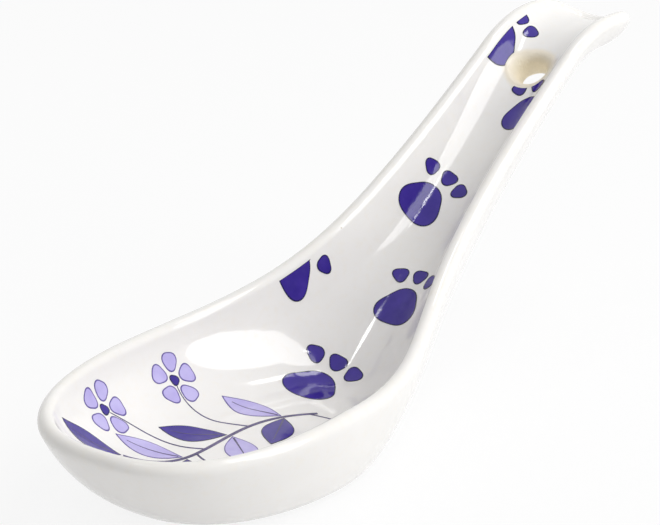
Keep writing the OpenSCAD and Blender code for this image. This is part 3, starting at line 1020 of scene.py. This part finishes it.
def addVein(mesh, t, bearing):
    base, angle = leafBase(t, bearing)
    first, last = [sprig["leafLength"] * share for share in sprig["veinShares"]]
    steps = sprig["veinSteps"]
    path = [base + turned(mix(first, last, i / steps), 0, angle) for i in range(steps + 1)]
    addRibbon(mesh, path, tapered(sprig["veinWidth"], len(path)), film["lift"] + sprig["veinLift"])


# Fine lines of the sprig: the blossoms' stalks and a vein in each leaf
def makeFineLines():
    mesh = bmesh.new()
    mesh.verts.layers.float.new("edge")
    for (t, bearing, wayIn), shares in zip(sprig["stalks"], sprig["blossoms"]):
        addStalk(mesh, t, bearing, wayIn, place(shares))
    leaves = [(t, sprig["leafSpread"] * side) for t in sprig["leafPlaces"] for side in (1, -1)]
    for t, bearing in leaves + [(1, 0)]:
        addVein(mesh, t, bearing)
    finishLines(mesh, "sprigFineLines", [])


def makeBlossoms():
    petals, eyes = bmesh.new(), bmesh.new()
    petalLayer = petals.verts.layers.float.new("edge")
    eyeLayer = eyes.verts.layers.float.new("edge")
    corner, count = sprig["petalCorner"], sprig["petalPoints"]
    for shares in sprig["blossoms"]:
        centre = place(shares)
        addSpot(eyes, centre, sprig["eyeRadius"], 0, eyeLayer, corner, count)
        for i in range(sprig["petals"]):
            angle = 360 * i / sprig["petals"]
            petal = centre + turned(sprig["blossomRadius"], 0, angle)
            addSpot(petals, petal, sprig["petalRadius"], angle + 180, petalLayer, corner, count)
    finishPrint(petals, "blossomPetals", "pale_violet_print", ["blossom_petals"])
    finishPrint(eyes, "blossomCentres", "deep_blue_print", ["blossom_centres"])


makeStem()
makeLeaves("deepLeaves", "deep_leaves", "deep_blue_print", 0)
makeLeaves("paleLeaves", "pale_leaves", "pale_violet_print", 1)
makeBlossoms()
makeFineLines()
print("sprig made")

# Floor, lamps and surroundings
studio = {
    "floorSize": 3000,
    "floorColour": (0.89, 0.89, 0.89),
    "floorShadowShare": 0.13,
    "worldStrength": 0.475,
    "boxAzimuth": 20,  # a tall soft box to the right of the camera
    "boxElevation": 40,
    "boxDistance": 800,
    "boxSize": (390, 940),
    "boxPower": 3.9,
    "stripHeight": 700,
    "strips": [  # short strips overhead: middle, turn, size and power
        ((-146, 207), 100, (80, 30), 0.15),
        ((12, -538), 130, (105, 36), 0.24),
        ((300, -100), 167, (270, 80), 0.6),
    ],
}


# 1 where the camera sees a thing, directly, mirrored or through something, and 0 where it gives light
def seenShare(tree):
    rays = tree.nodes.new("ShaderNodeLightPath").outputs
    seen = joined(tree, "MAXIMUM", rays["Is Camera Ray"], rays["Is Glossy Ray"])
    return joined(tree, "MAXIMUM", seen, rays["Is Transmission Ray"])


def makeFloor():
    half = studio["floorSize"] / 2 * mm
    corners = [(-half, -half, 0), (half, -half, 0), (half, half, 0), (-half, half, 0)]
    data = bpy.data.meshes.new("floor")
    data.from_pydata(corners, [], [(0, 1, 2, 3)])
    floor = addObject("floor", data)
    material = bpy.data.materials.new("studioFloor")
    material.use_nodes = True
    tree = material.node_tree
    tree.nodes.clear()
    paint = tree.nodes.new("ShaderNodeBsdfDiffuse")
    paint.inputs["Color"].default_value = studio["floorColour"] + (1,)
    glow = tree.nodes.new("ShaderNodeEmission")
    glow.inputs["Strength"].default_value = 1
    blend = tree.nodes.new("ShaderNodeMixShader")
    share = spread(tree, seenShare(tree), 0, 1, 0, 1 - studio["floorShadowShare"])
    tree.links.new(share, blend.inputs["Fac"])
    tree.links.new(paint.outputs[0], blend.inputs[1])
    tree.links.new(glow.outputs[0], blend.inputs[2])
    output = tree.nodes.new("ShaderNodeOutputMaterial")
    tree.links.new(blend.outputs[0], output.inputs["Surface"])
    data.materials.append(material)


def makeWorld():
    world = bpy.data.worlds.new("surroundings")
    bpy.context.scene.world = world
    world.use_nodes = True
    tree = world.node_tree
    sky = tree.nodes["Background"]
    strength = spread(tree, seenShare(tree), 0, 1, studio["worldStrength"], 1)
    tree.links.new(strength, sky.inputs["Strength"])
    sky.inputs["Color"].default_value = (1, 1, 1, 1)


def makeLamp(name, shape, size, power, axes, middle):
    data = bpy.data.lights.new(name, "AREA")
    data.shape = shape
    data.size = size[0] * mm
    data.size_y = size[1] * mm
    data.energy = power
    light = addObject(name, data)
    light.matrix_world = Matrix.Translation(Vector(middle) * mm) @ Matrix(axes).transposed().to_4x4()


def makeLamps():
    axes = viewAxes(studio["boxAzimuth"], studio["boxElevation"])
    middle = axes[2] * studio["boxDistance"]
    makeLamp("softBox", "ELLIPSE", studio["boxSize"], studio["boxPower"], axes, middle)
    for number, (middle, turn, size, power) in enumerate(studio["strips"], 1):
        middle += (studio["stripHeight"],)
        makeLamp(f"strip{number}", "RECTANGLE", size, power, viewAxes(turn, 90), middle)


makeFloor()
makeWorld()
makeLamps()
bpy.context.scene.view_settings.view_transform = "Standard"
print("studio made")
